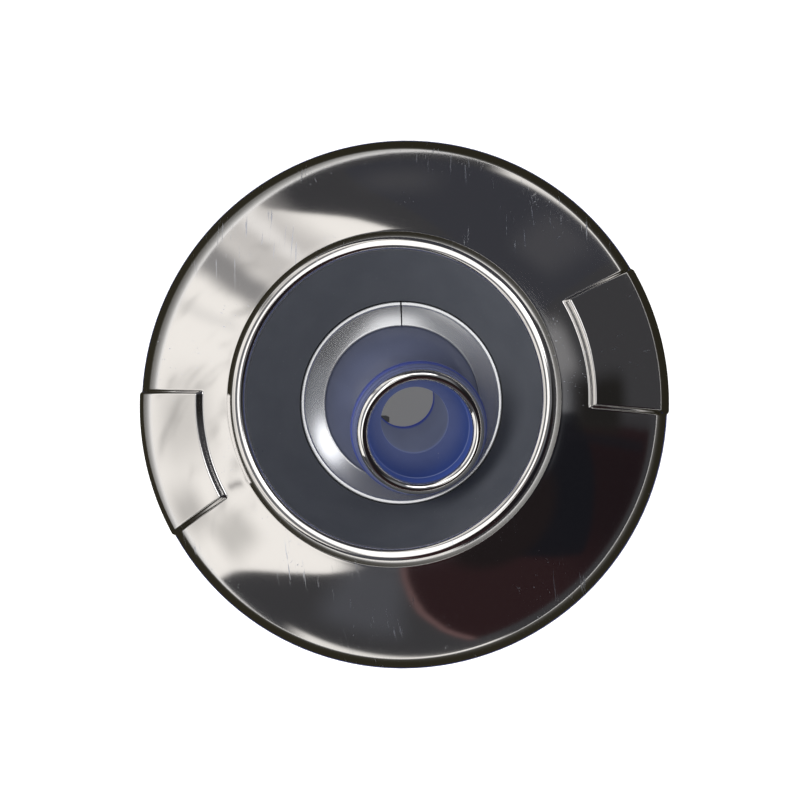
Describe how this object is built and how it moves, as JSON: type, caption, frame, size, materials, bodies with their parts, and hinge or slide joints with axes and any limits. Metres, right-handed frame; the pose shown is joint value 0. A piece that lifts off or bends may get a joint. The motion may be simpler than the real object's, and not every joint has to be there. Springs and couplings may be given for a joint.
{
  "type": "hot tub jet",
  "caption": "Swivelling hot tub jet insert with a domed stainless face, grip pads, grey funnel, blue ball nozzle and ported barrel with a throttle sleeve.",
  "frame": {"origin": "centre of the tail's flat end, on the jet axis", "axes": "+Z along the jet axis, out of the face; +X to the right and +Y up as the picture shows the face"},
  "size_m": [0.1284, 0.1274, 0.092],
  "materials": {
    "polished_steel": "mirror polished stainless sheet",
    "silver_ring": "soft polished",
    "trim_chrome": "mirror",
    "blue_plastic": "translucent, moulded",
    "funnel_grey": "satin moulded",
    "barrel_grey": "moulded",
    "acetal": "smooth natural acetal",
    "seal_rubber": "smooth seal rubber",
    "screw_steel": "stainless"
  },
  "bodies": {
    "barrel": {"barrel": "barrel_grey", "venturi_nozzle": "barrel_grey", "inlet_vanes": "barrel_grey", "barrel_o_ring": "seal_rubber", "tail_o_ring": "seal_rubber", "sleeve_o_ring": "seal_rubber", "upper_thrust_washer": "acetal", "lower_thrust_washer": "acetal", "snap_ring": "screw_steel"},
    "face": {"escutcheon_cover": "polished_steel", "face_plate": "blue_plastic", "funnel": "funnel_grey", "funnel_screws": "screw_steel", "socket_ring": "silver_ring", "ball_housing": "barrel_grey", "seat_o_ring": "seal_rubber", "throttle_sleeve": "barrel_grey"},
    "seat": {"ball_seat_ring": "acetal"},
    "nozzle": {"ball_nozzle": "blue_plastic", "nozzle_trim_ring": "trim_chrome"}
  },
  "joints": [
    {"name": "face_turn", "type": "hinge", "parent": "barrel", "child": "face", "pos_m": [0, 0, 0.066], "axis": [0, 0, 1], "range_deg": [-90, 0]},
    {"name": "seat_turn", "type": "hinge", "parent": "face", "child": "seat", "pos_m": [0, 0, 0.0595], "axis": [0, 0, 1], "continuous": true},
    {"name": "nozzle_tilt", "type": "hinge", "parent": "seat", "child": "nozzle", "pos_m": [0, 0, 0.0595], "axis": [0.788, 0.6157, 0], "range_deg": [-41.2, 0]}
  ]
}
